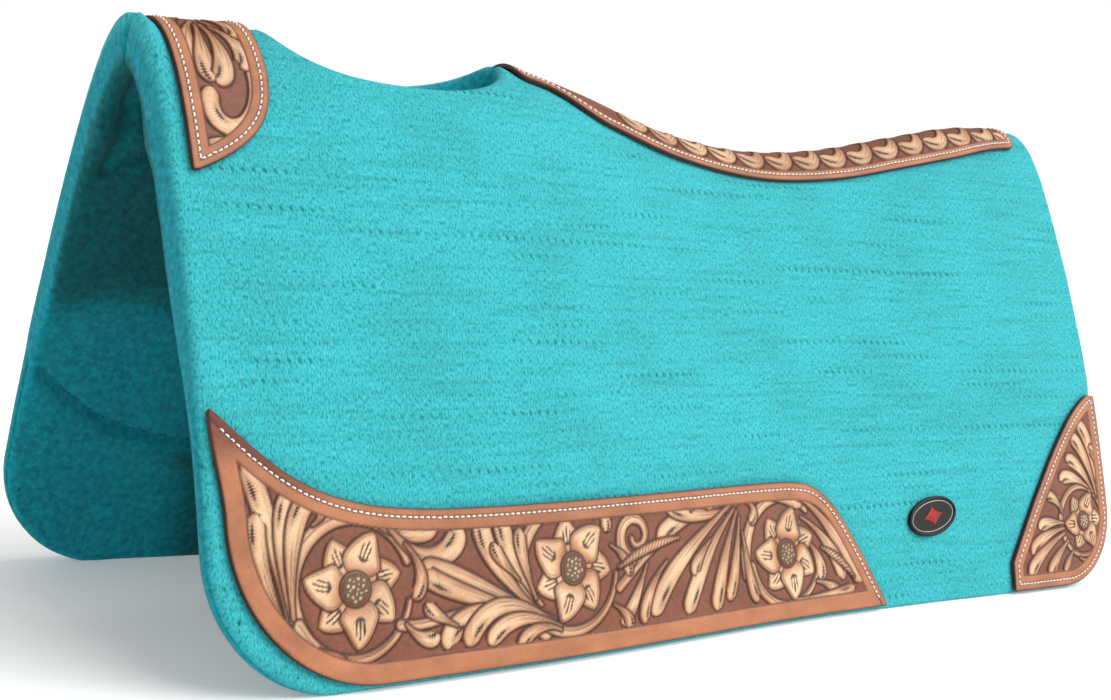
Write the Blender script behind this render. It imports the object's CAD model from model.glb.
"""The looks of a contoured western saddle pad: turquoise felt halves, tooled leather, stitches and a badge.

The pad is laid out flat in millimetres: x from the front edge, and s, the arc from the spine, which is
negative on the horse's left. Every piece is bent from there onto the felt's outer surface, in metres.
"""
import math

import bpy
import numpy as np
from mathutils import Matrix, Vector
from mathutils.geometry import delaunay_2d_cdt


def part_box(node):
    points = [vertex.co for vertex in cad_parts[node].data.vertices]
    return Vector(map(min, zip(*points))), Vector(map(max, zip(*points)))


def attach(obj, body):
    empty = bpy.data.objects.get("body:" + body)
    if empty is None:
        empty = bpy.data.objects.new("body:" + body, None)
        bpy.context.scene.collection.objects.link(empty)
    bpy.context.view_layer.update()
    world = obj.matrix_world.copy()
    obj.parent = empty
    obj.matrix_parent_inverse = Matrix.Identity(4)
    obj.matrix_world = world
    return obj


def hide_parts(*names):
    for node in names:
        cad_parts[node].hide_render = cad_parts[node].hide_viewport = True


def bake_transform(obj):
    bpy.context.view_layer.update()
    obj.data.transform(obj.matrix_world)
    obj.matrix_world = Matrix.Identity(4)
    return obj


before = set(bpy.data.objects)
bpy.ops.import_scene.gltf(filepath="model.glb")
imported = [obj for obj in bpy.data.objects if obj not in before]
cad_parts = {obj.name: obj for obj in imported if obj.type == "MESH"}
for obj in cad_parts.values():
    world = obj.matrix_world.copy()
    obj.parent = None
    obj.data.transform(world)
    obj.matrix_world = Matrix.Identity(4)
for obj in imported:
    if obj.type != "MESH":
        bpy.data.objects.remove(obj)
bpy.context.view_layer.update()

MM = 0.001
FELT_LOW, FELT_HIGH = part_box("felt_left")
LENGTH = (FELT_HIGH.x - FELT_LOW.x) / MM
FELT = 25.0
CLEARANCE = 0.35
LEATHER = 2.9
SIDES = {"left": -1, "right": 1}
FLAT_DOWN = 412         # an arc past every lower edge
FRONT_WINDOW = ((2, 240), (533, FLAT_DOWN))
REAR_WINDOW = ((672, 240), (800, FLAT_DOWN))
WITHER_END = 111


# ---- small helpers ----
def mix(a, b, t):
    return a + (b - a) * t


def smooth(t):
    c = np.clip(t, 0, 1)
    return c * c * (3 - 2 * c)


def value_noise(x, y, cell, seed):
    """Soft noise from -1 to 1 with bumps about one cell wide."""
    size = 61
    grid = np.random.default_rng(seed).uniform(-1, 1, (size, size))
    u = x / cell
    v = y / cell
    i = np.floor(u).astype(int)
    j = np.floor(v).astype(int)
    a = smooth(u - i)
    b = smooth(v - j)
    low = mix(grid[i % size, j % size], grid[(i + 1) % size, j % size], a)
    high = mix(grid[i % size, (j + 1) % size], grid[(i + 1) % size, (j + 1) % size], a)
    return mix(low, high, b)


# ---- the felt's outer surface, as the CAD frame has it ----
TOPLINE = [349, 353, 355, 352, 337, 317, 308.5, 314, 329, 344, 349]
SLOPE = (62, 60)        # degrees, front and rear
CROWN = (28, 16.5)      # arc over which the crown turns
BOW = (15, 18.5)        # degrees more over one flank
FLANK = 400
STATION = 2.5
ARC_STEP = 0.5
ARC_END = 440


def topline_height(x):
    z = np.array([2 * TOPLINE[0] - TOPLINE[1], *TOPLINE, 2 * TOPLINE[-1] - TOPLINE[-2]])
    at = np.clip(x / LENGTH, 0, 1) * (len(TOPLINE) - 1)
    i = np.minimum(at.astype(int), len(TOPLINE) - 2)
    t = at - i
    a, b, c, d = z[i], z[i + 1], z[i + 2], z[i + 3]
    return 0.5 * (2 * b + (c - a) * t + (2 * a - 5 * b + 4 * c - d) * t**2 + (3 * b - a - 3 * c + d) * t**3)


def section_tables():
    """y, z and slope on a grid of stations along the pad and arc steps down the flank."""
    x = np.arange(0, LENGTH + STATION, STATION)[:, None]
    s = np.arange(0, ARC_END, ARC_STEP)[None, :]
    t = np.clip(x / LENGTH, 0, 1)
    slope = np.radians(mix(*SLOPE, t))
    bow = np.radians(mix(*BOW, t))
    angle = slope * (1 - np.exp(-s / mix(*CROWN, t))) + bow * s / FLANK
    middle = (angle[:, 1:] + angle[:, :-1]) / 2
    start = np.zeros((len(x), 1))
    y = np.hstack([start, np.cumsum(np.cos(middle) * ARC_STEP, axis=1)])
    drop = np.hstack([start, np.cumsum(np.sin(middle) * ARC_STEP, axis=1)])
    return y, topline_height(x) - drop, angle


TABLE_Y, TABLE_Z, TABLE_ANGLE = section_tables()
GROUND_ARC = np.array([np.interp(0, -row, np.arange(len(row)) * ARC_STEP) for row in TABLE_Z])


def look_up(table, x, s):
    u = np.clip(x / STATION, 0, table.shape[0] - 1.001)
    v = np.clip(np.abs(s) / ARC_STEP, 0, table.shape[1] - 1.001)
    i = u.astype(int)
    j = v.astype(int)
    low = mix(table[i, j], table[i + 1, j], u - i)
    high = mix(table[i, j + 1], table[i + 1, j + 1], u - i)
    return mix(low, high, v - j)


def ground_arc(x):
    return np.interp(x / STATION, np.arange(len(GROUND_ARC)), GROUND_ARC)


def height_up(x, s):
    """Distance up the flank from its lower edge."""
    return ground_arc(x) - np.abs(s)


def on_felt(x, s, lift):
    """Points in metres at lift above the felt's outer surface."""
    angle = look_up(TABLE_ANGLE, x, s)
    y = look_up(TABLE_Y, x, s) + lift * np.sin(angle)
    z = look_up(TABLE_Z, x, s) + lift * np.cos(angle)
    return np.stack([x - LENGTH / 2, np.where(s < 0, -y, y), z], axis=-1) * MM


def normals_at(x, s):
    angle = look_up(TABLE_ANGLE, x, s)
    side = np.where(s < 0, -1.0, 1.0)
    return np.stack([np.zeros_like(angle), side * np.sin(angle), np.cos(angle)], axis=-1)


# ---- outlines: each gives the distance in from its edge, negative outside ----
FRONT_CORNER_R = 80
REAR_CORNER_R = 60
RELIEF_FROM, RELIEF_TO, RELIEF_HALF, RELIEF_POWER = 85, 252, 45, 2.4


def round_corner(a, b, radius):
    """Distance in from a corner of two edges, a and b being the distances from each."""
    near = (a < radius) & (b < radius)
    return np.where(near, radius - np.hypot(radius - a, radius - b), np.minimum(a, b))


def felt_edge(x, s):
    """Distance in from the felt's cut edge: front, rear, lower edge and relief opening."""
    up = height_up(x, s)
    outline = np.minimum(round_corner(x, up, FRONT_CORNER_R), round_corner(LENGTH - x, up, REAR_CORNER_R))
    half_length = (RELIEF_TO - RELIEF_FROM) / 2
    u = np.abs(x - (RELIEF_FROM + RELIEF_TO) / 2) / half_length
    v = np.abs(s) / RELIEF_HALF
    reach = (u**RELIEF_POWER + v**RELIEF_POWER) ** (1 / RELIEF_POWER)
    steep = np.hypot((u / np.maximum(reach, 1e-6)) ** 1.4 / half_length,
                     (v / np.maximum(reach, 1e-6)) ** 1.4 / RELIEF_HALF)
    return np.minimum(outline, (reach - 1) / np.maximum(steep, 1e-4))


def sloped(value, field, x):
    """A height above or below a curve, made into a distance by the curve's slope."""
    gap = 0.5
    slope = (field(x + gap) - field(x - gap)) / (2 * gap)
    return value / np.sqrt(1 + slope * slope)


FRONT_LOW, FRONT_ARC_X, FRONT_ARC_UP = 3, 101, 95
FRONT_HEIGHT = 95
FRONT_TIP_X, FRONT_TIP_UP = 3.5, 152


def front_wear_top(x):
    rise = 64 * np.exp(-((np.clip(x, 0, None) / 50) ** 1.3))
    return FRONT_HEIGHT + rise - 1.76 * 10.7 * np.log1p(np.exp((x - 481) / 10.7))


def front_wear_top_edge(x, s):
    return sloped(front_wear_top(x) - height_up(x, s), front_wear_top, x)


def front_wear_edge(x, s):
    up = height_up(x, s)
    radius = FRONT_ARC_UP - FRONT_LOW
    corner = round_corner(x - FRONT_ARC_X + radius, up - FRONT_LOW, radius)
    lean = smooth((up - FRONT_ARC_UP) / (FRONT_TIP_UP - FRONT_ARC_UP))
    front = x - mix(FRONT_ARC_X - radius, FRONT_TIP_X, lean)
    low = np.where(up < FRONT_ARC_UP, corner, front)
    return np.minimum(low, front_wear_top_edge(x, s))


REAR_FROM, REAR_TO, REAR_LOW, REAR_R = 674, 797.5, 2, 57


def rear_wear_top(x):
    t = np.clip((x - REAR_FROM) / (REAR_TO - REAR_FROM), 0, 1)
    return mix(24, 152, 1 - (1 - t) ** 1.5)


def rear_wear_edge(x, s):
    up = height_up(x, s)
    top = sloped(rear_wear_top(x) - up, rear_wear_top, x)
    corner = round_corner(REAR_TO - x, up - REAR_LOW, REAR_R)
    return np.minimum(np.minimum(top, corner), x - REAR_FROM)


def wither_front(s):
    return 12 - 1.5 * np.abs(s) / WITHER_END


def wither_rear(s):
    return 68 - 58 * (np.abs(s) / WITHER_END) ** 5.5


def wither_edge(x, s):
    front = sloped(x - wither_front(s), wither_front, s)
    rear = sloped(wither_rear(s) - x, wither_rear, s)
    return np.minimum(np.minimum(front, rear), WITHER_END - 1.5 - np.abs(s))


SPINE_FROM, SPINE_TO, SPINE_CORNER = 262, 777, 9


def spine_half_width(x):
    front = mix(19, 34, smooth((x - 283) / 52))
    rear = mix(27, 34, smooth((SPINE_TO - x) / 90))
    return np.minimum(front, rear)


def spine_edge(x, s):
    side = sloped(spine_half_width(x) - np.abs(s), spine_half_width, x)
    ends = np.minimum(x - SPINE_FROM, SPINE_TO - x)
    return round_corner(side, ends, SPINE_CORNER)


# ---- meshes on a clipped lattice ----
SNAP_ROUNDS = 3
FILL_SPACING = 7.0      # between the points of a plain underside
CONTOUR_STEP = 1.0


def gradient(field, x, s):
    gap = 0.02
    gx = (field(x + gap, s) - field(x - gap, s)) / (2 * gap)
    gs = (field(x, s + gap) - field(x, s - gap)) / (2 * gap)
    return gx, gs


def snapped(field, x, s):
    """Moves points along the field's slope onto its edge."""
    for _ in range(SNAP_ROUNDS):
        value = field(x, s)
        gx, gs = gradient(field, x, s)
        steep = np.maximum(gx * gx + gs * gs, 0.05)
        x = x - value * gx / steep
        s = s - value * gs / steep
    return x, s


def lattice(field, low, high, step):
    """A square lattice cut to where field is positive, its border lying on the edge.
    Returns x, s, quads and triangles."""
    xs = np.arange(low[0] - step, high[0] + 1.5 * step, step)
    ss = np.arange(low[1] - step, high[1] + 1.5 * step, step)
    x, s = np.meshgrid(xs, ss, indexing="ij")
    value = field(x, s)
    keep = value > -0.5 * step
    border = keep & (value < 0.5 * step)
    x[border], s[border] = snapped(field, x[border], s[border])
    index = np.full(x.shape, -1)
    index[keep] = np.arange(keep.sum())
    corners = np.stack([index[:-1, :-1], index[1:, :-1], index[1:, 1:], index[:-1, 1:]], axis=-1)
    corners = corners.reshape(-1, 4)
    held = (corners >= 0).sum(axis=1)
    quads = corners[held == 4]
    partial = corners[held == 3]
    tris = np.array([[k for k in cell if k >= 0] for cell in partial]).reshape(-1, 3)
    used = np.zeros(keep.sum(), bool)
    used[quads.ravel()] = True
    used[tris.ravel()] = True
    renumber = np.cumsum(used) - 1
    return x[keep][used], s[keep][used], renumber[quads], renumber[tris]


def border_edges(quads, tris):
    """The directed edges that belong to one face only."""
    pairs = [np.stack([quads[:, k], quads[:, (k + 1) % 4]], 1) for k in range(4)]
    pairs += [np.stack([tris[:, k], tris[:, (k + 1) % 3]], 1) for k in range(3)]
    edges = np.concatenate(pairs)
    size = int(edges.max()) + 1
    there = edges[:, 0] * size + edges[:, 1]
    back = edges[:, 1] * size + edges[:, 0]
    return edges[~np.isin(there, back)]


def new_object(name, points, polygons):
    mesh = bpy.data.meshes.new(name)
    mesh.vertices.add(len(points))
    mesh.vertices.foreach_set("co", np.ascontiguousarray(points, np.float32).ravel())
    loops = np.concatenate([p.ravel() for p in polygons]).astype(np.int32)
    totals = np.concatenate([np.full(len(p), p.shape[1]) for p in polygons])
    starts = np.concatenate([[0], np.cumsum(totals)[:-1]]).astype(np.int32)
    mesh.loops.add(len(loops))
    mesh.loops.foreach_set("vertex_index", loops)
    mesh.polygons.add(len(totals))
    mesh.polygons.foreach_set("loop_start", starts)
    mesh.update(calc_edges=True)
    mesh.validate()
    mesh.shade_smooth()
    piece = bpy.data.objects.new(name, mesh)
    bpy.context.scene.collection.objects.link(piece)
    return piece


def set_values(piece, name, values):
    """Stores one number or one colour for each vertex."""
    kind = "FLOAT" if values.ndim == 1 else "FLOAT_COLOR"
    layer = piece.data.attributes.new(name, kind, "POINT")
    key = "value" if values.ndim == 1 else "color"
    layer.data.foreach_set(key, np.ascontiguousarray(values, np.float32).ravel())


def set_flat_uv(piece, x, s):
    """A UV map of the flat layout: u along the pad and v up the flank, in metres."""
    uv = np.stack([x * MM, height_up(x, s) * MM], axis=1)
    loops = np.zeros(len(piece.data.loops), np.int32)
    piece.data.loops.foreach_get("vertex_index", loops)
    layer = piece.data.uv_layers.new(name="flat")
    layer.data.foreach_set("uv", uv[loops].astype(np.float32).ravel())


def rim_of(quads, tris):
    edges = border_edges(quads, tris)
    return np.unique(edges), edges


def closed(x, s, quads, tris, top, outward, rings, under=None, fill_field=None):
    """Closes a lattice into a plate: walls go down from its border through the rings, each a share of the
    outward step and a lift, to a second lattice at the lifts under, or to a plain fill at the last lift.
    Returns x, s, lift and the polygons."""
    rim, edges = rim_of(quads, tris)
    place = np.full(len(x), -1)
    place[rim] = np.arange(len(rim))
    a, b = place[edges[:, 0]], place[edges[:, 1]]
    xs, ss, lifts = [x], [s], [top]
    polygons = [quads, tris] if len(tris) else [quads]
    previous = rim
    count = len(x)
    for share, lift in rings:
        xs.append(x[rim] + share * outward[:, 0])
        ss.append(s[rim] + share * outward[:, 1])
        lifts.append(np.broadcast_to(lift, len(rim)))
        current = count + np.arange(len(rim))
        polygons.append(np.stack([previous[b], previous[a], current[a], current[b]], 1))
        previous = current
        count += len(rim)
    if under is not None:
        inner = place < 0
        number = count + np.cumsum(inner) - 1
        number[rim] = previous
        xs.append(x[inner])
        ss.append(s[inner])
        lifts.append(under[inner])
        polygons.append(number[quads][:, ::-1])
        if len(tris):
            polygons.append(number[tris][:, ::-1])
    else:
        px, ps = np.meshgrid(np.arange(x.min(), x.max(), FILL_SPACING),
                             np.arange(s.min(), s.max(), FILL_SPACING))
        px, ps = px.ravel(), ps.ravel()
        deep = fill_field(px, ps) > 0.6 * FILL_SPACING
        inner = np.stack([px[deep], ps[deep]], 1)
        last = np.stack([xs[-1], ss[-1]], 1)
        points = [Vector(p) for p in np.concatenate([last, inner]).tolist()]
        _, _, faces, origin, _, _ = delaunay_2d_cdt(points, np.stack([a, b], 1).tolist(), [], 1, 1e-6)
        source = np.array([o[0] for o in origin])
        tri = source[np.array([f for f in faces if len(f) == 3])]
        number = np.concatenate([previous, count + np.arange(len(inner))])
        xs.append(inner[:, 0])
        ss.append(inner[:, 1])
        lifts.append(np.full(len(inner), float(rings[-1][1])))
        polygons.append(number[tri][:, ::-1])
    return np.concatenate(xs), np.concatenate(ss), np.concatenate(lifts).astype(float), polygons


def place_on_side(polygons, side):
    """Mirrored pieces turn their faces round, so that they still face outward."""
    return polygons if side > 0 else [p[:, ::-1] for p in polygons]


def set_sharp_along_spine(piece, s):
    """Keeps the shading of a half piece smooth up to the spine, where it meets the other half."""
    mesh = piece.data
    ends = np.zeros(len(mesh.edges) * 2, np.int32)
    mesh.edges.foreach_get("vertices", ends)
    flat = (np.abs(s[ends.reshape(-1, 2)]) < 1e-4).all(axis=1)
    layer = mesh.attributes.new("sharp_edge", "BOOLEAN", "EDGE")
    layer.data.foreach_set("value", flat)


def bend_with(piece):
    """A piece at the spine bends into its flank over the crown."""
    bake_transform(piece)


# ---- paths for stitches ----
def contour(field, inset, low, high, keep=None):
    """The line at an inset from a field's edge, as arrays of x and s, and whether it is closed."""
    x, s, quads, tris = lattice(lambda a, b: field(a, b) - inset, low, high, CONTOUR_STEP)
    edges = border_edges(quads, tris)
    if keep is not None:
        held = keep(x, s)
        edges = edges[held[edges[:, 0]] & held[edges[:, 1]]]
    following = dict(edges.tolist())
    starts = sorted(set(following) - set(following.values()))
    best = []
    for start in starts or [min(following)]:
        chain = [start]
        while chain[-1] in following and len(chain) <= len(following):
            chain.append(following[chain[-1]])
            if chain[-1] == start:
                break
        best = max(best, chain, key=len)
    return x[best], s[best], not starts


def capsules(paths_x, paths_s, lifts, radii, sides=8):
    """Round stitches, one for each row of the path arrays. Returns the points and polygons."""
    core = on_felt(paths_x, paths_s, lifts)
    rows, stations, _ = core.shape
    tangent = np.gradient(core, axis=1)
    tangent /= np.linalg.norm(tangent, axis=2, keepdims=True)
    normal = normals_at(paths_x, paths_s)
    across = np.cross(tangent, normal)
    across /= np.linalg.norm(across, axis=2, keepdims=True)
    normal = np.cross(across, tangent)
    turn = np.linspace(0, 2 * math.pi, sides, endpoint=False)
    reach = (radii * MM)[..., None, None]
    ring = np.cos(turn)[:, None] * across[:, :, None, :] + np.sin(turn)[:, None] * normal[:, :, None, :]
    tube = core[:, :, None, :] + reach * ring
    outward = np.stack([-tangent[:, 0], tangent[:, -1]], 1)
    poles = core[:, [0, -1]] + outward * 0.6 * reach[:, [0, -1]][..., 0]
    points = np.concatenate([tube.reshape(rows, -1, 3), poles], axis=1)
    per = points.shape[1]
    quads, tris = [], []
    for k in range(sides):
        after = (k + 1) % sides
        for j in range(stations - 1):
            quads.append([j * sides + k, j * sides + after, (j + 1) * sides + after, (j + 1) * sides + k])
        last = (stations - 1) * sides
        tris.append([per - 2, after, k])
        tris.append([per - 1, last + k, last + after])
    base = (np.arange(rows) * per)[:, None, None]
    quads = (np.array(quads)[None] + base).reshape(-1, 4)
    tris = (np.array(tris)[None] + base).reshape(-1, 3)
    return points.reshape(-1, 3), [quads[:, ::-1], tris[:, ::-1]]


STITCH_PITCH = 4.0
STITCH_LENGTH = 2.7
STITCH_RADIUS = 0.58


def stitch_rows(path):
    """The stations of each stitch along a path, as rows of x and s."""
    x, s, looped = path
    run = np.concatenate([[0], np.cumsum(np.hypot(np.diff(x), np.diff(s)))])
    count = int(run[-1] / STITCH_PITCH)
    gap = run[-1] / count
    middles = (np.arange(count) + 0.5) * gap
    at = middles[:, None] + np.linspace(-0.5, 0.5, 7)[None, :] * STITCH_LENGTH
    if looped:
        at = at % run[-1]
    return np.interp(at, run, x), np.interp(at, run, s)


def stitched(name, path, side, base_lift, material, node, flip=1):
    """A row of separate stitches that dip into their holes at both ends. flip is -1 for the underside."""
    x, s = stitch_rows(path)
    rng = np.random.default_rng(len(name))
    s = s + rng.normal(0, 0.07, (len(s), 1))
    arch = np.array([-0.9, 0.15, 0.75, 0.95, 0.75, 0.15, -0.9]) * STITCH_RADIUS
    width = np.array([0.6, 0.9, 1.0, 1.0, 1.0, 0.9, 0.6]) * STITCH_RADIUS
    held = side * s.mean(axis=1) >= 0
    x, s = x[held], s[held]
    lifts = base_lift(x, s) + flip * arch[None, :]
    radii = np.broadcast_to(width, x.shape)
    points, polygons = capsules(x, s, lifts, radii)
    piece = new_object(name, points, polygons)
    piece.data.materials.append(material)
    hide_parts(node)
    return piece


# ---- the tooling ----
def bezier(points, count=26):
    t = np.linspace(0, 1, count)[:, None]
    p = np.array(points, float)
    if len(p) == 3:
        return (1 - t) ** 2 * p[0] + 2 * t * (1 - t) * p[1] + t**2 * p[2]
    return (1 - t) ** 3 * p[0] + 3 * t * (1 - t) ** 2 * p[1] + 3 * t**2 * (1 - t) * p[2] + t**3 * p[3]


def hooked(points, width):
    """A leaf's centreline. With three points, its tip curls on in the way that it already bends."""
    if len(points) == 4:
        return bezier(points)
    start, middle, tip = (np.array(p, float) for p in points)
    ahead = tip - middle
    before = middle - start
    way = 1.0 if before[0] * ahead[1] - before[1] * ahead[0] > 0 else -1.0
    ahead = ahead / np.linalg.norm(ahead)
    aside = way * np.array([-ahead[1], ahead[0]])
    end = tip + (0.25 * ahead + 0.75 * aside) * width
    return bezier([start, middle, tip, end])


def joined(*parts):
    return np.concatenate([bezier(parts[0])] + [bezier(p)[1:] for p in parts[1:]])


def arc(centre, radius, start, end, count=30):
    """Points round a centre, from one angle to another in degrees."""
    a = np.radians(np.linspace(start, end, count))
    r = np.linspace(*radius, count) if np.ndim(radius) else radius
    return np.stack([centre[0] + r * np.cos(a), centre[1] + r * np.sin(a)], 1)


SEEDS = 17
STEM_TAPER = 0.45
GOLDEN_TURN = math.pi * (3 - math.sqrt(5))


class Carving:
    """Leaves and flowers cut into leather, painted on the vertices of its flat layout."""

    def __init__(self, x, v, edge, frame_inset):
        self.x, self.v, self.edge, self.inset = x, v, edge, frame_inset
        self.cream = np.zeros(len(x))
        self.ink = np.zeros(len(x))
        self.shade = np.zeros(len(x))
        self.height = np.zeros(len(x))
        self.inner = smooth((edge - frame_inset) / 0.8)

    def along(self, line, reach):
        """Vertices near a line: their index, place along it from 0 to 1, signed offset and its length."""
        low, high = line.min(0) - reach, line.max(0) + reach
        near = (self.x > low[0]) & (self.x < high[0]) & (self.v > low[1]) & (self.v < high[1])
        index = np.nonzero(near)[0]
        p = np.stack([self.x[index], self.v[index]], 1)
        steps = np.diff(line, axis=0)
        lengths = np.linalg.norm(steps, axis=1)
        runs = np.concatenate([[0], np.cumsum(lengths)])
        best = np.full(len(index), 1e9)
        t = np.zeros(len(index))
        off = np.zeros(len(index))
        for k, step in enumerate(steps):
            rel = p - line[k]
            share = np.clip(rel @ step / lengths[k] ** 2, 0, 1)
            gap = rel - share[:, None] * step
            distance = np.hypot(gap[:, 0], gap[:, 1])
            closer = distance < best
            best[closer] = distance[closer]
            t[closer] = (runs[k] + share[closer] * lengths[k]) / runs[-1]
            turn = step[0] * rel[:, 1] - step[1] * rel[:, 0]
            off[closer] = np.where(turn[closer] < 0, -1, 1) * distance[closer]
        return index, t, off, runs[-1]

    def stamp(self, index, inside, ink, dome=0.5, tone=0.0):
        """Lays one shape over what is there. inside is the distance in from its outline."""
        cover = smooth(inside / 0.7 + 0.5)
        line = np.exp(-((inside + 0.4) / 0.85) ** 2)
        cut = 0.55 * np.exp(-np.clip(-inside, 0, None) / 1.1) * (inside < 0)
        top = dome * (1 - np.exp(-np.clip(inside, 0, None) / 1.3))
        self.cream[index] = mix(self.cream[index], 1, cover)
        rounding = np.maximum(np.exp(-np.clip(inside - 0.3, 0, None) / 1.8), tone)
        self.shade[index] = mix(self.shade[index], rounding, cover)
        self.height[index] = mix(np.minimum(self.height[index], -cut), top, cover)
        self.ink[index] = np.maximum(self.ink[index] * (1 - cover), np.maximum(ink * cover, line))

    def leaf(self, line, width, print_side=0.18):
        width = width * 1.4
        index, t, off, length = self.along(line, width)
        body = mix(0.22, 1.0, smooth(t / 0.86))
        crown = 1 - 0.62 * width / length
        tip = np.sqrt(np.clip(1 - (np.clip(t - crown, 0, 1) / (1 - crown)) ** 2, 0, 1))
        inside = 0.5 * width * body * tip - np.abs(off)
        serrate = 0.8 + 0.45 * np.sin(t * length * 3.6)
        blob = ((t - 0.84) * length / (0.36 * width + 1.0)) ** 2
        blob = blob + ((off - print_side * width) / (0.11 * width * serrate)) ** 2
        ink = np.maximum(0.95 * smooth(1.6 - blob), 0.38 * smooth(1.5 - 0.3 * blob))
        middle = np.exp(-(off / 0.5) ** 2) * smooth((0.66 - t) / 0.2) * smooth((t - 0.12) / 0.1)
        second = np.exp(-((off + 0.24 * width * body) / 0.4) ** 2)
        second = second * smooth((0.5 - np.abs(t - 0.42)) / 0.3)
        ink = np.maximum(ink, np.maximum(0.7 * middle, 0.5 * second))
        self.stamp(index, inside, ink, 0.5, 0.75 * smooth((0.42 - t) / 0.4))

    def leaves(self, rows):
        """Each row is a leaf's points from its root to its tip, and its width."""
        for *points, width in rows:
            self.leaf(hooked(points, width), width)

    def stem(self, line, width):
        index, t, off, _ = self.along(line, width)
        width = width * 1.35
        inside = 0.5 * width * mix(1, STEM_TAPER, t) - np.abs(off)
        ink = 0.75 * np.exp(-((off - 0.12 * width) / 0.5) ** 2)
        self.stamp(index, inside, ink, 0.4)

    def rope(self, line, width):
        """A stem of slanted strands."""
        index, t, off, length = self.along(line, width)
        inside = 0.5 * width * np.sin(np.pi * np.clip(t, 0.06, 0.94)) ** 0.5 - np.abs(off)
        strand = np.sin((t * length - 0.9 * off) * 2.1)
        self.stamp(index, inside, 0.85 * smooth(strand * 1.4 - 0.2))

    def petal(self, centre, angle, inner, outer, width, curl):
        """A pointed petal with a fan of short dark strokes."""
        a = math.radians(angle)
        out = np.array([math.cos(a), math.sin(a)])
        side = np.array([-out[1], out[0]])
        c = np.array(centre, float)
        line = bezier([c + out * inner, c + out * (inner + outer) / 2 + side * curl, c + out * outer])
        index, t, off, _ = self.along(line, width)
        body = smooth(t / 0.5 + 0.35) * np.clip((1 - t) / 0.6, 0, 1) ** 0.62
        inside = 0.5 * width * body - np.abs(off)
        inside = np.where((t > 0.999) | (t < 0.001), -np.abs(off), inside)
        spread = off / (0.45 + 0.55 * t)
        fingers = smooth(1.6 * np.cos(spread * 2 * np.pi / 3.3) + 0.1)
        start = smooth((t - 0.32 - 0.003 * spread**2) / 0.05)
        end = smooth((0.84 - 0.009 * spread**2 - t) / 0.07)
        blot = start * end * mix(1, fingers, smooth((t - 0.40) / 0.08))
        blot = blot * smooth((6.6 - np.abs(spread)) / 0.7)
        inner_line = 0.45 * np.exp(-((inside - 2.0) / 0.5) ** 2)
        ink = np.maximum(0.95 * blot, inner_line)
        self.stamp(index, inside, ink, 0.6, 0.9 * smooth((0.5 - t) / 0.4))

    def flower(self, centre, radius, petals, turn):
        for first in (0, 1):
            for k in range(first, petals, 2):
                angle = turn + k * 360 / petals
                reach = radius * (1.06 if first else 0.98)
                self.petal(centre, angle, radius * 0.18, reach, radius * 0.80, radius * 0.12)
        index = np.nonzero(np.hypot(self.x - centre[0], self.v - centre[1]) < radius * 0.5)[0]
        dx, dv = self.x[index] - centre[0], self.v[index] - centre[1]
        r = np.hypot(dx, dv)
        core = 0.31 * radius
        ink = np.where(r < core * 0.8, 0.85, 0.0)
        for k in range(SEEDS):
            turned = k * GOLDEN_TURN
            away = core * 0.74 * math.sqrt((k + 0.5) / SEEDS)
            gap = np.hypot(dx - away * math.cos(turned), dv - away * math.sin(turned))
            ink = np.minimum(ink, np.where(gap < 0.7, 0.12, 1.0))
        ring_line = np.exp(-((r - core * 0.86) / 1.0) ** 2)
        self.stamp(index, core - r, np.maximum(ink, 0.95 * ring_line), 0.7)

    def finish(self):
        """The colour and relief of each vertex, with the plain border and its cut line."""
        border = 1 - self.inner
        cut_line = np.exp(-((self.edge - self.inset) / 0.55) ** 2)
        cream = self.cream * self.inner
        stipple = value_noise(self.x, self.v, 1.3, 5)
        blotch = value_noise(self.x, self.v, 17, 6)
        streak = value_noise(self.x * 0.35, self.v * 1.8, 7, 8)
        ground = COLORS["ground"] * (1 + 0.16 * stipple)[:, None]
        edge_tan = COLORS["border"] * (1 + 0.13 * blotch + 0.09 * streak)[:, None]
        pale = mix(COLORS["cream"], COLORS["cream_deep"], np.clip(self.shade + 0.25 * blotch, 0, 1)[:, None])
        color = mix(mix(ground, edge_tan, border[:, None]), pale, cream[:, None])
        burnish = smooth(1 - self.edge / 2.2)
        dark = np.maximum(np.maximum(self.ink * self.inner, 0.75 * cut_line), 0.55 * burnish)
        color = mix(color, COLORS["ink"], np.clip(dark, 0, 1)[:, None])
        sunk = -0.55 * self.inner * (1 - cream) * smooth((self.edge - self.inset) / 1.5)
        grain = 0.06 * stipple * self.inner * (1 - cream)
        height = self.height * self.inner + sunk + grain - 0.45 * cut_line
        return color, height


def linear(red, green, blue):
    """A screen colour from 0 to 255 as linear light."""
    c = np.array([red, green, blue]) / 255
    return np.where(c < 0.04045, c / 12.92, ((c + 0.055) / 1.055) ** 2.4)


COLORS = {
    "border": linear(170, 110, 76),
    "ground": linear(122, 70, 48),
    "cream": linear(224, 186, 148),
    "cream_deep": linear(158, 92, 54),
    "ink": linear(38, 13, 5),
    "edge": linear(70, 34, 22),
    "tip": linear(92, 38, 24),
    "felt": linear(56, 175, 182),
    "felt_pit": linear(8, 90, 98),
    "cut_low": linear(6, 118, 132),
    "cut_high": linear(20, 158, 172),
    "inner_low": linear(6, 76, 80),
    "inner_high": linear(12, 106, 110),
}
FRAME_INSET = 12.0
SMALL_FRAME_INSET = 11.0
SPINE_FRAME_INSET = 8.5
STITCH_INSET = 5.0


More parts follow.
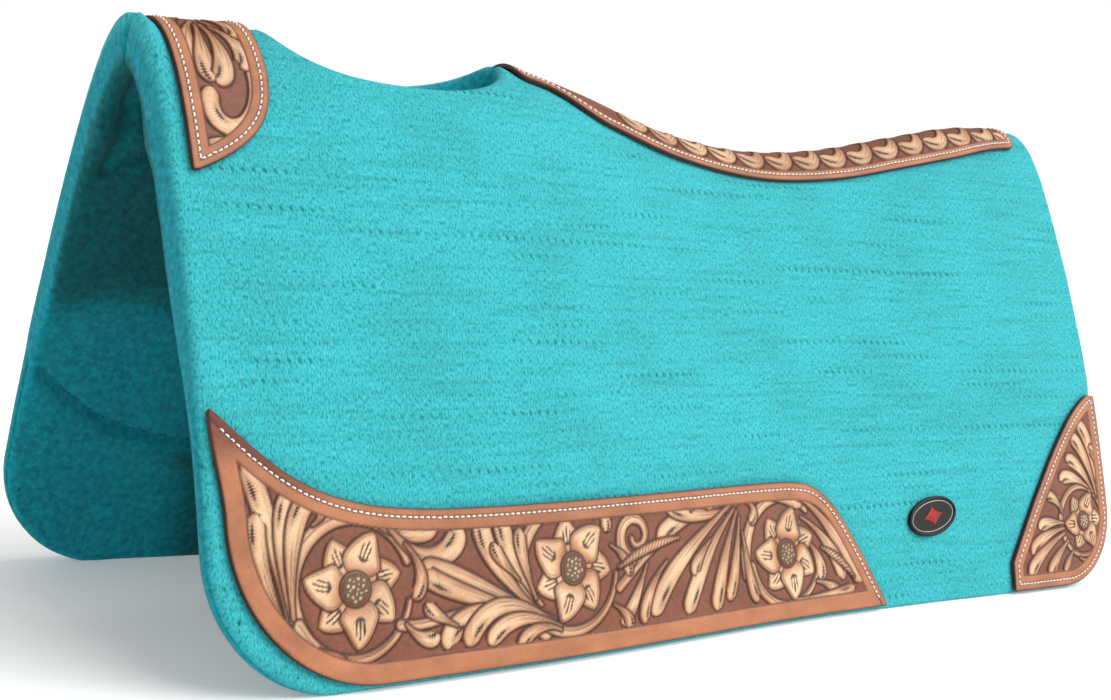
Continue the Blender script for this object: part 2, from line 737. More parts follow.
def carve_front_wear(x, up, edge):
    """Three flowers in ring stems, with fans of curling leaves between them."""
    c = Carving(x, up, edge, FRAME_INSET)
    flowers = [((84, 56), 28, 12), ((238, 55), 28, -8), ((434, 47), 27, 20)]
    stems = [
        (arc((84, 56), (41, 37), 215, 20), 8.5), (arc((84, 56), (40, 36), 205, 345), 6.0),
        (bezier([(112, 34), (140, 28), (175, 52), (222, 26)]), 4.5),
        (arc((238, 55), (42, 37), 235, 60), 8.5), (arc((238, 55), (39, 35), 215, 350), 6.0),
        (bezier([(275, 40), (305, 62), (340, 84), (388, 84)]), 4.5),
        (arc((434, 47), (41, 36), 195, 50), 7.5), (arc((434, 47), (36, 33), 190, 330), 5.5),
        (arc((292, 70), (15, 4), 250, -160), 6.5),
    ]
    leaves = [
        [(43, 38), (36, 84), (27, 124), 9.5], [(44, 42), (36, 82), (42, 108), 7.5],
        [(45, 44), (42, 90), (55, 108), 9.0], [(41, 38), (26, 66), (22, 96), 8.5],
        [(94, 94), (116, 80), (137, 82), 8.5], [(108, 88), (136, 52), (158, 78), 10.5],
        [(216, 28), (170, 50), (132, 68), 8.5], [(208, 34), (178, 56), (167, 84), 9.5],
        [(212, 36), (194, 56), (182, 86), 9.0], [(212, 30), (168, 42), (129, 56), 8.5],
        [(196, 52), (186, 62), (178, 70), 6.0], [(208, 40), (200, 60), (196, 78), 6.5],
        [(220, 25), (158, 50), (140, 24), 9.5], [(222, 24), (186, 48), (168, 38), (156, 18), 9.0],
        [(226, 22), (200, 34), (182, 30), (172, 17), 8.0], [(226, 20), (210, 28), (194, 17), 6.5],
        [(116, 34), (124, 24), (134, 22), 7.0], [(60, 26), (70, 22), (76, 17), 5.0],
        [(258, 84), (266, 90), (270, 78), 6.5], [(270, 66), (282, 60), (286, 50), 6.0],
        [(386, 84), (350, 86), (313, 72), 9.0], [(388, 82), (360, 74), (330, 80), (322, 88), 8.0],
        [(384, 84), (352, 66), (318, 48), (303, 20), 9.5], [(386, 80), (360, 60), (346, 40), (333, 18), 9.0],
        [(388, 78), (372, 52), (368, 36), (360, 17), 8.5], [(390, 74), (384, 48), (378, 24), 7.5],
        [(392, 64), (394, 40), (398, 20), 6.5], [(360, 62), (350, 54), (341, 46), 6.5],
        [(300, 52), (290, 34), (280, 18), 7.0], [(318, 52), (300, 40), (292, 20), 6.5],
        [(344, 82), (352, 88), (364, 86), 5.5], [(410, 84), (430, 88), (452, 82), 7.0],
        [(450, 84), (474, 74), (492, 46), (508, 22), 9.5], [(452, 70), (476, 58), (492, 30), 8.0],
        [(456, 54), (468, 42), (470, 30), 7.5], [(462, 26), (474, 24), (486, 17), 6.5],
        [(440, 16), (470, 14), (498, 16), 5.5], [(398, 84), (410, 80), (404, 70), 6.0],
        [(118, 78), (134, 62), (126, 48), 6.5], [(60, 92), (72, 98), (62, 104), 6.0],
        [(150, 30), (142, 34), (130, 40), 6.0], [(270, 30), (282, 24), (284, 17), 6.0],
    ]
    ropes = [([(276, 52), (300, 64), (330, 66)], 6.0), ([(470, 48), (486, 42), (500, 26)], 5.5)]
    for line, width in stems:
        c.stem(line, width)
    c.leaves(leaves)
    for points, width in ropes:
        c.rope(bezier(points), width)
    for centre, radius, turn in flowers:
        c.flower(centre, radius * 1.1, 7, turn)
    return c.finish()


def carve_rear_wear(x, up, edge):
    c = Carving(x, up, edge, SMALL_FRAME_INSET)
    c.stem(arc((764, 50), (29, 24), 160, -20), 4.0)
    c.stem(arc((764, 50), (29, 25), 170, 320), 4.0)
    leaves = [
        [(784, 68), (790, 100), (776, 128), 8.5], [(784, 70), (780, 96), (764, 118), 8.5],
        [(780, 72), (770, 92), (754, 102), 8.0], [(774, 76), (760, 86), (742, 88), 8.0],
        [(786, 80), (794, 92), (786, 108), 6.5], [(738, 58), (732, 70), (722, 74), 6.5],
        [(738, 50), (724, 52), (710, 52), 7.5], [(738, 46), (716, 44), (697, 34), 8.0],
        [(738, 42), (714, 34), (692, 18), 8.0], [(742, 36), (728, 26), (716, 15), 7.5],
        [(748, 28), (740, 20), (736, 14), 6.0], [(756, 22), (764, 18), (774, 15), 6.0],
    ]
    c.leaves(leaves)
    c.flower((764, 50), 23, 6, 0)
    return c.finish()


def carve_wither(x, s, edge):
    c = Carving(x, np.abs(s), edge, SMALL_FRAME_INSET)
    c.leaf(joined([(40, 8), (58, 34), (62, 62), (50, 78)], [(50, 78), (40, 92), (20, 82), (30, 60)]), 8.0)
    leaves = [
        [(33, 10), (22, 22), (20, 40), 9.0], [(34, 14), (30, 34), (27, 52), 9.5],
        [(37, 14), (45, 36), (41, 56), 9.5], [(42, 16), (56, 26), (58, 44), 9.0],
        [(28, 4), (20, 6), (16, 20), 7.5], [(44, 4), (54, 8), (58, 20), 8.0],
        [(42, 92), (28, 92), (18, 98), 7.5],
    ]
    c.leaves(leaves)
    return c.finish()


def carve_spine(x, s, edge):
    """A running border of curled tear shapes, plain towards the front."""
    c = Carving(x, np.abs(s), edge, SPINE_FRAME_INSET)
    pitch = 29.0
    for k in range(15):
        start = 349 + pitch * k
        c.leaf(bezier([(start + 36, -6), (start + 26, 20), (start + 14, 24), (start + 3, 12)]), 10.5, -0.12)
    return c.finish()


# ---- materials ----
def new_material(name):
    material = bpy.data.materials.new(name)
    material.use_nodes = True
    tree = material.node_tree
    tree.nodes.clear()
    shader = tree.nodes.new("ShaderNodeBsdfPrincipled")
    output = tree.nodes.new("ShaderNodeOutputMaterial")
    tree.links.new(shader.outputs["BSDF"], output.inputs["Surface"])
    return material, tree, shader


def add_node(tree, kind, settings=None, **inputs):
    """A node with its settings, its inputs set to numbers or linked from sockets."""
    made = tree.nodes.new(kind)
    for key, value in (settings or {}).items():
        setattr(made, key, value)
    for key, value in inputs.items():
        socket = made.inputs[int(key[1:])] if key[0] == "i" and key[1:].isdigit() else made.inputs[key]
        if isinstance(value, bpy.types.NodeSocket):
            tree.links.new(value, socket)
        else:
            socket.default_value = value
    return made


def flat_coordinates(tree, scale):
    uv = add_node(tree, "ShaderNodeUVMap", {"uv_map": "flat"})
    return add_node(tree, "ShaderNodeMapping", None, Vector=uv.outputs["UV"], Scale=scale).outputs["Vector"]


def noise(tree, vector, scale, detail=2.0, roughness=0.5):
    made = add_node(tree, "ShaderNodeTexNoise", None, Vector=vector, Scale=scale, Detail=detail)
    made.inputs["Roughness"].default_value = roughness
    return made.outputs["Fac"]


def ramp(tree, factor, stops):
    made = add_node(tree, "ShaderNodeValToRGB", None, Fac=factor)
    elements = made.color_ramp.elements
    while len(elements) < len(stops):
        elements.new(0.5)
    for element, (position, color) in zip(elements, stops):
        element.position = position
        element.color = (*color, 1)
    return made.outputs["Color"]


def calculate(tree, operation, a, b=0.0):
    return add_node(tree, "ShaderNodeMath", {"operation": operation}, i0=a, i1=b).outputs[0]


def add_bump(tree, shader, height, strength, distance):
    bump = add_node(tree, "ShaderNodeBump", None, Height=height, Strength=strength, Distance=distance)
    tree.links.new(bump.outputs["Normal"], shader.inputs["Normal"])


def mix_color(tree, factor, color, other, blend="MIX"):
    settings = {"data_type": "RGBA", "blend_type": blend}
    return add_node(tree, "ShaderNodeMix", settings, i0=factor, i6=color, i7=other).outputs[2]


def multiply(tree, color, other):
    return mix_color(tree, 1.0, color, other, "MULTIPLY")


def grey(value):
    return (value, value, value)


ROW_MARKS = 0.62


def felt_material():
    """Needle-punched wool felt: a short speckled nap, faint machine rows and darker cut edges."""
    material, tree, shader = new_material("turquoise_felt")
    metres = flat_coordinates(tree, (1, 1, 1))
    object_at = add_node(tree, "ShaderNodeTexCoord").outputs["Object"]
    speck = noise(tree, flat_coordinates(tree, (1.0, 0.46, 1.0)), 860, 3, 0.62)
    tuft = noise(tree, object_at, 240, 2, 0.55)
    cloud = noise(tree, metres, 17, 3)
    streak = noise(tree, flat_coordinates(tree, (0.04, 1.0, 1.0)), 260, 2, 0.6)
    nap = ramp(tree, speck, [(0.31, (0.2, 0.46, 0.48)), (0.48, (0.85, 0.94, 0.94)),
                             (0.70, (2.1, 1.15, 1.14))])
    tufts = ramp(tree, tuft, [(0.30, grey(0.92)), (0.55, grey(1.01)), (0.75, grey(1.05))])
    clouds = ramp(tree, cloud, [(0.3, grey(0.93)), (0.7, grey(1.05))])
    streaks = ramp(tree, streak, [(0.32, grey(0.87)), (0.5, grey(0.99)), (0.7, grey(1.03))])
    parts = add_node(tree, "ShaderNodeSeparateXYZ", None, Vector=metres)
    u, v = parts.outputs[0], parts.outputs[1]
    slant = calculate(tree, "ADD", u, calculate(tree, "MULTIPLY", v, 0.31))
    across = calculate(tree, "PINGPONG", slant, 0.0033)
    row = calculate(tree, "PINGPONG", calculate(tree, "ADD", v, 0.0455), 0.0054)
    across_square = calculate(tree, "POWER", across, 2.0)
    row_square = calculate(tree, "POWER", calculate(tree, "MULTIPLY", row, 0.7), 2.0)
    radius = calculate(tree, "SQRT", calculate(tree, "ADD", across_square, row_square))
    dots = add_node(tree, "ShaderNodeMapRange", {"interpolation_type": "SMOOTHSTEP"},
                    Value=radius, i1=0.0005, i2=0.0018, i3=1.0, i4=0.0).outputs[0]
    along = noise(tree, flat_coordinates(tree, (0.13, 1.0, 1.0)), 75, 2)
    patches = add_node(tree, "ShaderNodeMapRange", None, Value=along, i1=0.50, i2=0.64)
    dots = calculate(tree, "MULTIPLY", dots, patches.outputs[0])
    color = (*COLORS["felt"], 1)
    for shades in (nap, tufts, clouds, streaks):
        color = multiply(tree, color, shades)
    color = mix_color(tree, calculate(tree, "MULTIPLY", dots, ROW_MARKS), color, (*COLORS["felt_pit"], 1))
    cut = add_node(tree, "ShaderNodeAttribute", {"attribute_name": "cut"}).outputs["Fac"]
    fibre = ramp(tree, tuft, [(0.3, COLORS["cut_low"]), (0.7, COLORS["cut_high"])])
    color = mix_color(tree, cut, color, fibre)
    inner = add_node(tree, "ShaderNodeAttribute", {"attribute_name": "inner"}).outputs["Fac"]
    lining = ramp(tree, tuft, [(0.3, COLORS["inner_low"]), (0.7, COLORS["inner_high"])])
    color = mix_color(tree, inner, color, lining)
    tree.links.new(color, shader.inputs["Base Color"])
    shader.inputs["Roughness"].default_value = 0.95
    shader.inputs["Specular IOR Level"].default_value = 0.12
    shader.inputs["Sheen Weight"].default_value = 0.05
    shader.inputs["Sheen Roughness"].default_value = 0.6
    fine = calculate(tree, "MULTIPLY", speck, 0.7)
    height = calculate(tree, "ADD", fine, calculate(tree, "MULTIPLY", tuft, 0.9))
    height = calculate(tree, "ADD", height, calculate(tree, "MULTIPLY", streak, 0.2))
    height = calculate(tree, "SUBTRACT", height, calculate(tree, "MULTIPLY", dots, 0.35))
    add_bump(tree, shader, height, 0.8, 0.0011)
    return material


def leather_material():
    material, tree, shader = new_material("tooled_leather")
    tint = add_node(tree, "ShaderNodeAttribute", {"attribute_name": "tint"}).outputs["Color"]
    place = add_node(tree, "ShaderNodeTexCoord").outputs["Object"]
    grain = noise(tree, place, 900, 3, 0.6)
    wear = noise(tree, place, 38, 4, 0.6)
    fine = ramp(tree, grain, [(0.3, grey(0.86)), (0.7, grey(1.07))])
    worn = ramp(tree, wear, [(0.28, (0.80, 0.74, 0.70)), (0.62, (1.05, 1.04, 1.02))])
    tree.links.new(multiply(tree, multiply(tree, tint, fine), worn), shader.inputs["Base Color"])
    rough = add_node(tree, "ShaderNodeMapRange", None, Value=wear, i3=0.42, i4=0.62).outputs[0]
    tree.links.new(rough, shader.inputs["Roughness"])
    shader.inputs["Specular IOR Level"].default_value = 0.35
    add_bump(tree, shader, grain, 0.35, 0.0003)
    return material


def thread_material(name, color):
    material, tree, shader = new_material(name)
    place = add_node(tree, "ShaderNodeTexCoord").outputs["Object"]
    strand = noise(tree, place, 1500, 2)
    shades = ramp(tree, strand, [(0.3, grey(0.78)), (0.65, grey(1.05))])
    tree.links.new(multiply(tree, (*color, 1), shades), shader.inputs["Base Color"])
    shader.inputs["Roughness"].default_value = 0.7
    add_bump(tree, shader, strand, 0.5, 0.0002)
    return material


def gloss_material(name, color, roughness, coat):
    material, tree, shader = new_material(name)
    place = add_node(tree, "ShaderNodeTexCoord").outputs["Object"]
    smear = noise(tree, place, 300, 3)
    shades = ramp(tree, smear, [(0.3, grey(0.85)), (0.7, grey(1.1))])
    tree.links.new(multiply(tree, (*color, 1), shades), shader.inputs["Base Color"])
    rough = add_node(tree, "ShaderNodeMapRange", None, Value=smear, i3=roughness * 0.8, i4=roughness * 1.3)
    tree.links.new(rough.outputs[0], shader.inputs["Roughness"])
    shader.inputs["Coat Weight"].default_value = coat
    shader.inputs["Specular IOR Level"].default_value = 0.22
    shader.inputs["Coat Roughness"].default_value = 0.12
    return material


# ---- felt ----
FELT_EDGE_R = 4.6
SEAM_EDGE_R = 1.9
SEAM_HALF_GAP = 0.15
FELT_STEP = 3.0


def felt_half_field(x, s):
    return np.minimum(felt_edge(x, s) - FELT_EDGE_R, s - SEAM_HALF_GAP - SEAM_EDGE_R)


def stitch_creases(x, s):
    """How far each point is from the nearest sewn line."""
    near = np.abs(front_wear_top_edge(x, s) - STITCH_INSET) + 40 * (front_wear_edge(x, s) < 3)
    near = np.minimum(near, np.abs(rear_wear_edge(x, s) - STITCH_INSET))
    near = np.minimum(near, np.abs(wither_edge(x, s) - STITCH_INSET))
    return near


def outer_lift(x, s):
    """The felt's outer face: slightly uneven, and pressed down along the sewn leather edges."""
    up = height_up(x, s)
    lift = 0.55 * value_noise(x, up, 75, 11) + 0.22 * value_noise(x, up, 21, 12)
    for edge in (front_wear_edge, rear_wear_edge, wither_edge, spine_edge):
        inside = edge(x, s)
        lift = np.where(inside > -9, mix(lift, np.minimum(lift, 0), smooth((inside + 9) / 9)), lift)
        lift = lift - 0.85 * np.exp(-((inside - 2) / 5.5) ** 2)
    lip = 6.5 * np.exp(-((x / 10) ** 2)) * np.exp(-((s / 34) ** 2))
    return lift + lip


def inner_lift(x, s):
    """The face on the horse: creased along the sewn lines, full between them, thinner at the front."""
    up = height_up(x, s)
    arc = np.abs(s)
    uneven = 0.6 * value_noise(x, up, 60, 13) + 0.2 * value_noise(x, up, 17, 14)
    near = stitch_creases(x, s)
    crease = 4.6 * np.exp(-((near / 4.0) ** 2)) - 1.3 * np.exp(-(((near - 14) / 9) ** 2))
    wither_puff = -4.5 * np.exp(-(((arc - 82) / 15) ** 2)) * smooth((62 - x) / 40)
    thinner = 9.5 * smooth((250 - up) / 120) * smooth((190 - x) / 150)
    return -FELT + uneven + crease + wither_puff + thinner


def build_felt(side_name, material):
    side = SIDES[side_name]
    x, s, quads, tris = lattice(felt_half_field, (0, 0), (LENGTH, FLAT_DOWN), FELT_STEP)
    rim, _ = rim_of(quads, tris)
    edge_gap = felt_edge(x[rim], s[rim]) - FELT_EDGE_R
    seam_gap = s[rim] - SEAM_HALF_GAP - SEAM_EDGE_R
    at_edge = 1 - smooth(edge_gap / 3)
    at_seam = 1 - smooth(seam_gap / 3)
    gx, gs = gradient(felt_edge, x[rim], s[rim])
    steep = np.maximum(np.hypot(gx, gs), 0.2)
    outward = np.stack([-FELT_EDGE_R * at_edge * gx / steep,
                        -FELT_EDGE_R * at_edge * gs / steep - SEAM_EDGE_R * at_seam], 1)
    radius = (FELT_EDGE_R * at_edge + SEAM_EDGE_R * at_seam) / np.maximum(at_edge + at_seam, 0.05)
    top = outer_lift(x, side * s)
    under = inner_lift(x, side * s)
    fuzz = 0.35 * value_noise(x[rim] * 1.7, s[rim] * 1.7, 9, 21 + side)
    rings = []
    for turn in np.radians([22, 45, 68, 90]):
        rings.append((math.sin(turn), top[rim] - radius * (1 - math.cos(turn))))
    for swell, t in ((0.05, 0.3), (0.08, 0.5), (0.05, 0.7)):
        rings.append((1 + (swell + 0.03 * fuzz) * at_edge, mix(top[rim], under[rim], t)))
    for turn in np.radians([90, 68, 45, 22, 0]):
        rings.append((math.sin(turn), under[rim] + radius * (1 - math.cos(turn))))
    fx, fs, lift, polygons = closed(x, s, quads, tris, top, outward, rings, under)
    points = on_felt(fx, fs, lift)
    points[:, 1] = np.maximum(points[:, 1], SEAM_HALF_GAP * MM)
    points[:, 2] = np.maximum(points[:, 2], 0)
    points[:, 1] *= side
    piece = new_object(f"felt_{side_name}_pad", points, place_on_side(polygons, side))
    set_values(piece, "cut", smooth((-1.5 - lift) / 5))
    set_values(piece, "inner", smooth((-lift - 0.75 * FELT) / 4))
    set_flat_uv(piece, fx, fs)
    piece.data.materials.append(material)
    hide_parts(f"felt_{side_name}")
    bend_with(piece)
    return piece


# ---- leathers ----
BEVEL = 0.8


def groove(edge, inset):
    """A creased channel for stitches at an inset."""
    return -0.4 * np.exp(-(((edge - inset) / 0.95) ** 2))


def build_leather(name, side_name, material, node, edge_field, carve, window, step, seam_field, halved):
    """One leather, or its half on one side of the spine. seam_field gives the edge that is stitched."""
    side = SIDES[side_name]

    def field(x, s):
        inside = edge_field(x, s) - BEVEL
        return np.minimum(inside, s) if halved else inside

    x, s, quads, tris = lattice(field, *window, step)
    if halved:
        s = np.where(np.abs(s) < 0.02, 0.0, s)
    rim, _ = rim_of(quads, tris)
    gx, gs = gradient(edge_field, x[rim], s[rim])
    steep = np.maximum(np.hypot(gx, gs), 0.2)
    free = (s[rim] > 0.05) if halved else np.ones(len(rim), bool)
    outward = np.stack([-gx / steep, np.where(free, -gs / steep, 0)], 1) * BEVEL
    ends = edge_field(x[rim], s[rim]) - BEVEL < 0.1
    outward[~(free | ends)] = 0
    edge = edge_field(x, s)
    color, height = carve(x, s if halved else height_up(x, s), edge)
    seam = seam_field(x, s)
    channel = 0.8 * np.exp(-(((seam - STITCH_INSET) / 0.8) ** 2))
    color = mix(color, COLORS["ink"], channel[:, None])
    top = CLEARANCE + LEATHER + height + groove(seam, STITCH_INSET)
    top = top + 0.12 * value_noise(x, s, 23, 31)
    drop = np.where(free | ends, BEVEL, 0.0)
    rings = [(math.sin(a), top[rim] - drop * (1 - math.cos(a))) for a in np.radians([35, 65, 90])]
    rings += [(1.0, mix(top[rim], CLEARANCE, 0.6)), (1.0, CLEARANCE + 0.25), (0.55, CLEARANCE)]
    under = np.full(len(x), CLEARANCE) if halved else None
    fx, fs, lift, polygons = closed(x, s, quads, tris, top, outward, rings, under, edge_field)
    points = on_felt(fx, fs, lift)
    if halved:
        points[fs <= 0.02, 1] = 0
    points[:, 1] *= side
    piece = new_object(name, points, place_on_side(polygons, side))
    tint = np.ones((len(fx), 4))
    tint[:, :3] = COLORS["edge"]
    tint[:len(x), :3] = color
    set_values(piece, "tint", tint)
    if halved:
        set_sharp_along_spine(piece, fs)
    piece.data.materials.append(material)
    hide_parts(node)
    return piece


def tip_burnish(x, up):
    """The dark antiquing towards the front leather's upper tip, strongest along its top edge."""
    near_top = smooth((9 - (front_wear_top(x) - up)) / 5)
    return np.maximum(smooth((up - 90) / 44) * 0.9 * near_top, smooth((up - 118) / 26) * 0.8)


def build_front_wear(side_name, material):
    def carve(x, up, edge):
        color, height = carve_front_wear(x, up, edge)
        return mix(color, COLORS["tip"], tip_burnish(x, up)[:, None]), height

    piece = build_leather(f"front_wear_{side_name}_leather", side_name, material,
                          f"front_wear_leather_{side_name}", front_wear_edge, carve,
                          FRONT_WINDOW, 0.8, front_wear_top_edge, False)
    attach(piece, f"{side_name}_flank")


def build_rear_wear(side_name, material):
    piece = build_leather(f"rear_wear_{side_name}_leather", side_name, material,
                          f"rear_wear_leather_{side_name}", rear_wear_edge, carve_rear_wear,
                          REAR_WINDOW, 0.6, rear_wear_edge, False)
    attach(piece, f"{side_name}_flank")


def build_centre_leathers(side_name, material):
    for label, field, carve, window, step in (
            ("wither", wither_edge, carve_wither, ((0, 0), (70, 112)), 0.55),
            ("spine", spine_edge, carve_spine, ((SPINE_FROM, 0), (SPINE_TO, 36)), 0.6)):
        piece = build_leather(f"{label}_{side_name}_leather", side_name, material,
                              f"{label}_leather", field, carve, window, step, field, True)
        bend_with(piece)


# ---- stitches ----
def top_of_leather(x, _):
    return np.full_like(x, CLEARANCE + LEATHER - 0.2)


def under_felt(x, s):
    return inner_lift(x, s) - 0.1


def front_seam_only(x, s):
    """The front leather is stitched along its top edge, not round its corner."""
    return (np.abs(front_wear_top_edge(x, s) - STITCH_INSET) < 0.15) & (x > 4.4)


def on_side(window, side):
    (x0, s0), (x1, s1) = window
    return window if side > 0 else ((x0, -s1), (x1, -s0))


def build_stitches(side_name, white, dark):
    side = SIDES[side_name]
    flank = f"{side_name}_flank"
    front = contour(front_wear_edge, STITCH_INSET, *on_side(FRONT_WINDOW, side), front_seam_only)
    rear = contour(rear_wear_edge, STITCH_INSET, *on_side(REAR_WINDOW, side))
    wither = contour(wither_edge, STITCH_INSET, (0, -112), (70, 112))
    spine = contour(spine_edge, STITCH_INSET, (SPINE_FROM, -36), (SPINE_TO, 36))
    for label, path in (("front_wear", front), ("rear_wear", rear)):
        piece = stitched(f"{label}_{side_name}_stitches", path, side, top_of_leather, white,
                         f"{label}_thread_{side_name}")
        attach(piece, flank)
        piece = stitched(f"{label}_{side_name}_bobbin", path, side, under_felt, dark,
                         f"{label}_bobbin_{side_name}", -1)
        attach(piece, flank)
    for label, path in (("wither", wither), ("spine", spine)):
        piece = stitched(f"{label}_{side_name}_stitches", path, side, top_of_leather, white,
                         f"{label}_thread_{side_name}")
        bend_with(piece)


def build_seam_lacing(material):
    """The cross stitches that join the two felt halves along the valley between them."""
    for label, start, end in (("front", 4, RELIEF_FROM - 4), ("rear", RELIEF_TO + 4, LENGTH - 4)):
        count = int((end - start) / 6)
        middle = np.linspace(start, end, count)[:, None]
        share = np.linspace(-1, 1, 7)[None, :]
        s = 3.4 * share + 0 * middle
        x = middle + 1.6 * share
        lifts = np.array([-1.9, -0.5, -0.2, -0.1, -0.2, -0.5, -1.9])[None, :] + 0 * x - 0.35
        points, polygons = capsules(x, s, lifts, np.full_like(x, 0.5))
        piece = new_object(f"seam_{label}_lacing", points, polygons)
        piece.data.materials.append(material)
        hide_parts(f"seam_cord_{label}")
        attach(piece, "spine")


# ---- badge ----
BADGE_X, BADGE_UP = 590, 63
BADGE_LENGTH, BADGE_HEIGHT = 25.5, 14


def badge_frame():
    """The badge's centre on the felt, and its along, up and outward directions."""
    s = -(ground_arc(np.array([BADGE_X]))[0] - BADGE_UP)
    here = np.array([BADGE_X, BADGE_X + 20, BADGE_X - 20, BADGE_X, BADGE_X], float)
    arcs = np.array([s, s, s, s + 10, s - 10])
    middle, ahead, behind, above, below = on_felt(here, arcs, np.full(5, CLEARANCE + 0.2))
    along = (ahead - behind) / np.linalg.norm(ahead - behind)
    out = np.cross(along, above - below)
    out /= np.linalg.norm(out)
    return middle, along, np.cross(out, along), out


def oval_reach(inset, _):
    return BADGE_LENGTH - inset, BADGE_HEIGHT - inset


def oval_shell(name, profile, material, node, shape=oval_reach):
    """A closed solid turned from a profile of (inset, height) in mm, round or of another shape."""
    segments = 96
    middle, along, up, out = badge_frame()
    turn = np.linspace(0, 2 * math.pi, segments, endpoint=False)
    rings = []
    for inset, height in profile:
        reach_x, reach_y = shape(inset, turn)
        flat = (np.cos(turn) * reach_x)[:, None] * along + (np.sin(turn) * reach_y)[:, None] * up
        rings.append(middle + (flat + height * out) * MM)
    points = np.concatenate(rings)
    k = np.arange(segments)
    after = (k + 1) % segments
    polygons = []
    for j in range(len(profile) - 1):
        low, high = j * segments, (j + 1) * segments
        polygons.append(np.stack([low + k, low + after, high + after, high + k], 1))
    polygons.append(k[::-1][None])
    polygons.append(((len(profile) - 1) * segments + k)[None])
    piece = new_object(name, points, polygons)
    piece.data.materials.append(material)
    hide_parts(node)
    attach(piece, "left_flank")
    return piece


def ring_solid(name, outer, inner, low, high, material, node=None):
    """A raised oval band with rounded edges, between two insets."""
    middle, along, up, out = badge_frame()
    width = inner - outer
    turn = np.linspace(0, 2 * math.pi, 120, endpoint=False)
    bulge = np.linspace(0, 2 * math.pi, 14, endpoint=False)
    points = []
    for a in bulge:
        inset = outer + width * (0.5 - 0.5 * math.cos(a))
        height = (low + high) / 2 + (high - low) / 2 * np.sign(math.sin(a)) * abs(math.sin(a)) ** 0.6
        reach_x, reach_y = BADGE_LENGTH - inset, BADGE_HEIGHT - inset
        flat = np.cos(turn)[:, None] * reach_x * along + np.sin(turn)[:, None] * reach_y * up
        points.append(middle + (flat + height * out) * MM)
    count = len(turn)
    k = np.arange(count)
    after = (k + 1) % count
    polygons = []
    for j in range(len(bulge)):
        here, there = j * count, (j + 1) % len(bulge) * count
        polygons.append(np.stack([here + k, there + k, there + after, here + after], 1)[:, ::-1])
    piece = new_object(name, np.concatenate(points), polygons)
    piece.data.materials.append(material)
    if node:
        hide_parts(node)
    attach(piece, "left_flank")
    return piece


def diamond_reach(scale_x, scale_y):
    def reach(inset, turn):
        share = 1 / (np.abs(np.cos(turn)) ** 0.8 + np.abs(np.sin(turn)) ** 0.8) ** 1.25
        return (scale_x - inset) * share, (scale_y - inset) * share
    return reach


def build_badge():
    """A glossy oval badge with a plain diamond, in place of any lettering."""
    black = gloss_material("badge_black", linear(6, 5, 5), 0.42, 0.05)
    red = gloss_material("badge_red", linear(150, 24, 28), 0.5, 0.1)
    pale = gloss_material("badge_line", linear(176, 172, 168), 0.5, 0.1)
    plate = [(0.8, -0.4), (0.0, 0.3), (0.0, 1.0), (0.3, 1.4), (0.9, 1.6), (2.0, 1.6)]
    oval_shell("badge_plate_oval", plate, black, "badge_plate")
    ring_solid("badge_rim_oval", 0.05, 2.5, 0.9, 2.4, black, "badge_rim")
    ring_solid("badge_line_oval", 3.2, 3.8, 1.3, 1.85, pale)
    gem = [(0, 1.5), (0, 1.95), (0.5, 2.15)]
    oval_shell("badge_diamond", gem, red, "badge_emblem", diamond_reach(10.5, 7))


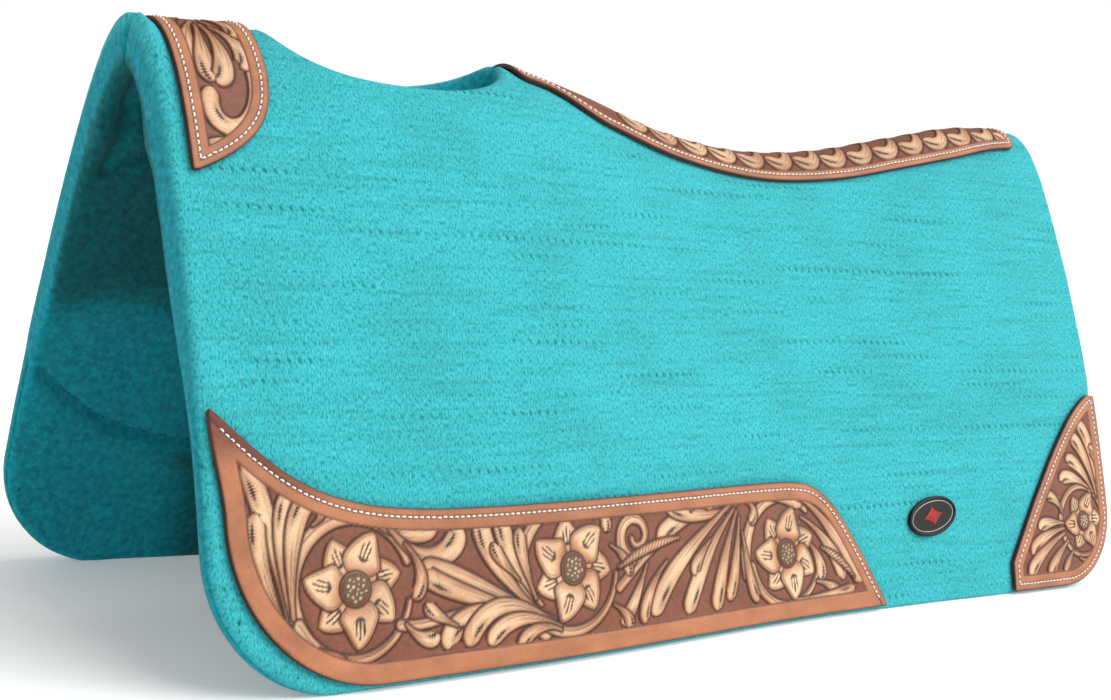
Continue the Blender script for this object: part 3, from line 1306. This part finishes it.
# ---- studio ----
def build_studio():
    scene = bpy.context.scene
    mesh = bpy.data.meshes.new("floor")
    reach = 30
    mesh.from_pydata([(-reach, -reach, -0.0004), (reach, -reach, -0.0004), (reach, reach, -0.0004),
                      (-reach, reach, -0.0004)], [], [(0, 1, 2, 3)])
    floor = bpy.data.objects.new("floor", mesh)
    scene.collection.objects.link(floor)
    material, tree, shader = new_material("pale_floor")
    shader.inputs["Base Color"].default_value = (0.92, 0.92, 0.92, 1)
    shader.inputs["Emission Color"].default_value = (1, 1, 1, 1)
    shader.inputs["Emission Strength"].default_value = 0.2
    shader.inputs["Roughness"].default_value = 0.9
    shader.inputs["Specular IOR Level"].default_value = 0.1
    mesh.materials.append(material)
    world = bpy.data.worlds.new("studio")
    scene.world = world
    world.use_nodes = True
    tree = world.node_tree
    direction = add_node(tree, "ShaderNodeTexCoord").outputs["Generated"]
    rise = add_node(tree, "ShaderNodeSeparateXYZ", None, Vector=direction).outputs["Z"]
    strength = add_node(tree, "ShaderNodeMapRange", {"interpolation_type": "SMOOTHSTEP"},
                        Value=rise, i1=0.12, i2=0.5, i3=1.02, i4=0.42).outputs[0]
    tree.links.new(strength, tree.nodes["Background"].inputs["Strength"])
    tree.nodes["Background"].inputs["Color"].default_value = (1, 1, 1, 1)
    data = bpy.data.lights.new("softbox", "SUN")
    data.energy = 2.35
    data.angle = math.radians(55)
    light = bpy.data.objects.new("softbox", data)
    light.rotation_euler = (-Vector((0.55, -0.75, 1.15))).to_track_quat("-Z", "Y").to_euler()
    scene.collection.objects.link(light)
    panel_data = bpy.data.lights.new("side_panel", "AREA")
    panel_data.shape = "SQUARE"
    panel_data.size = 1.4
    panel_data.energy = 14
    panel = bpy.data.objects.new("side_panel", panel_data)
    panel.location = (1.5, -1.5, 1.1)
    panel.rotation_euler = (Vector((0.3, 0, 0.15)) - panel.location).to_track_quat("-Z", "Y").to_euler()
    scene.collection.objects.link(panel)
    scene.view_settings.view_transform = "Standard"


def build_camera():
    yaw, pitch, roll = (math.radians(a) for a in (50.642, -6.696, 5.475))
    forward = Vector((math.cos(yaw) * math.cos(pitch), math.sin(yaw) * math.cos(pitch), math.sin(pitch)))
    right = Vector((math.sin(yaw), -math.cos(yaw), 0))
    up = right.cross(forward)
    tilted_right = math.cos(roll) * right + math.sin(roll) * up
    tilted_up = -math.sin(roll) * right + math.cos(roll) * up
    rotation = Matrix((tilted_right, tilted_up, -forward)).transposed()
    data = bpy.data.cameras.new("camera")
    data.sensor_width = 36
    data.lens = 56.81
    data.shift_x = -0.004
    data.shift_y = 0.003
    camera = bpy.data.objects.new("camera", data)
    camera.matrix_world = Matrix.Translation((-0.82665, -0.9265, 0.30207)) @ rotation.to_4x4()
    bpy.context.scene.collection.objects.link(camera)
    bpy.context.scene.camera = camera


def build_pad():
    felt = felt_material()
    leather = leather_material()
    white = thread_material("white_thread", linear(238, 236, 230))
    dark = thread_material("dark_thread", linear(12, 88, 92))
    for side_name in SIDES:
        build_felt(side_name, felt)
        build_front_wear(side_name, leather)
        build_rear_wear(side_name, leather)
        build_centre_leathers(side_name, leather)
        build_stitches(side_name, white, dark)
    build_seam_lacing(dark)
    build_badge()


build_pad()
build_studio()
build_camera()
